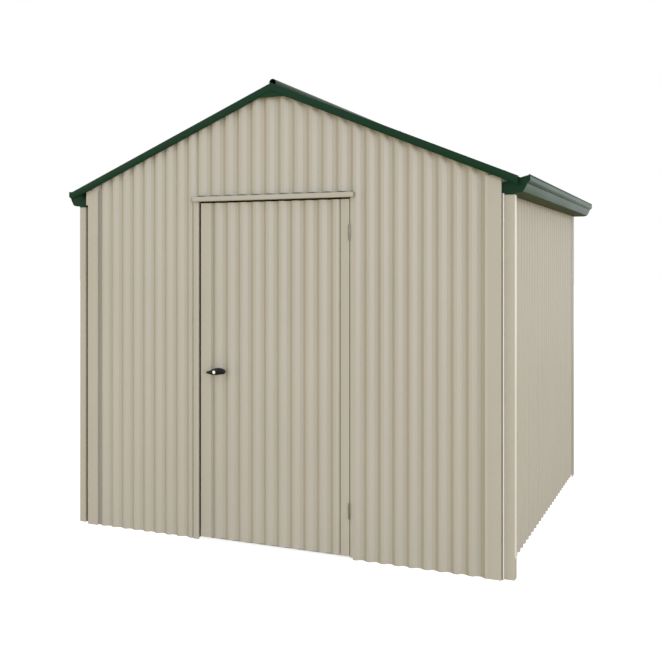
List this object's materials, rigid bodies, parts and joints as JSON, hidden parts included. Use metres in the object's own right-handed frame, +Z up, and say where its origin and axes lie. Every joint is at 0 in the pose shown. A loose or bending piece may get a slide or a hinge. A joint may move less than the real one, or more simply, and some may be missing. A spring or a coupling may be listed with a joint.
{
  "type": "garden shed",
  "caption": "Gabled garden shed clad in ribbed steel sheet, with an outward-opening hinged door, a green ribbed roof with barge strips, eaves gutters and front downpipes.",
  "frame": {"origin": "centre of the bounding box on the ground plane", "axes": "+X across the front towards the hinge side of the door, +Y from the front to the back, +Z up; the door faces -Y"},
  "size_m": [2.684, 2.429, 2.4725],
  "materials": {
    "cream_steel": "satin",
    "green_steel": "satin",
    "zinc_steel": "satin",
    "black_metal": "satin"
  },
  "bodies": {
    "shell": {"front_wall_left": "cream_steel", "front_wall_right": "cream_steel", "front_gable": "cream_steel", "left_wall": "cream_steel", "right_wall": "cream_steel", "back_wall": "cream_steel", "corner_front_left": "cream_steel", "corner_front_right": "cream_steel", "corner_back_left": "cream_steel", "corner_back_right": "cream_steel", "door_jamb_left": "cream_steel", "door_jamb_right": "cream_steel", "door_head": "cream_steel", "roof_left": "green_steel", "roof_right": "green_steel", "ridge_cap": "green_steel", "barge_front_left": "green_steel", "barge_front_right": "green_steel", "barge_back_left": "green_steel", "barge_back_right": "green_steel", "apex_plate_front": "green_steel", "apex_plate_back": "green_steel", "gutter_left": "green_steel", "gutter_right": "green_steel", "downpipe_left": "cream_steel", "downpipe_right": "cream_steel", "base_rail_left": "zinc_steel", "base_rail_right": "zinc_steel", "base_rail_back": "zinc_steel", "base_rail_front_left": "zinc_steel", "base_rail_front_right": "zinc_steel", "top_plate_left": "zinc_steel", "top_plate_right": "zinc_steel", "mid_girt_left": "zinc_steel", "mid_girt_right": "zinc_steel", "mid_girt_back": "zinc_steel", "ridge_beam": "zinc_steel", "hinge_lower_fixed": "zinc_steel", "hinge_upper_fixed": "zinc_steel"},
    "door": {"door_sheet": "cream_steel", "door_frame": "zinc_steel", "hinge_lower_moving": "zinc_steel", "hinge_upper_moving": "zinc_steel", "door_lock": "black_metal"},
    "handle": {"door_handle": "black_metal"}
  },
  "joints": [
    {"name": "door_hinge", "type": "hinge", "parent": "shell", "child": "door", "pos_m": [0.4355, -1.1705, 0.95], "axis": [0, 0, 1], "range_deg": [0, 110]},
    {"name": "handle_turn", "type": "hinge", "parent": "door", "child": "handle", "pos_m": [-0.328, -1.1665, 0.919], "axis": [0, 1, 0], "range_deg": [0, 90]}
  ]
}
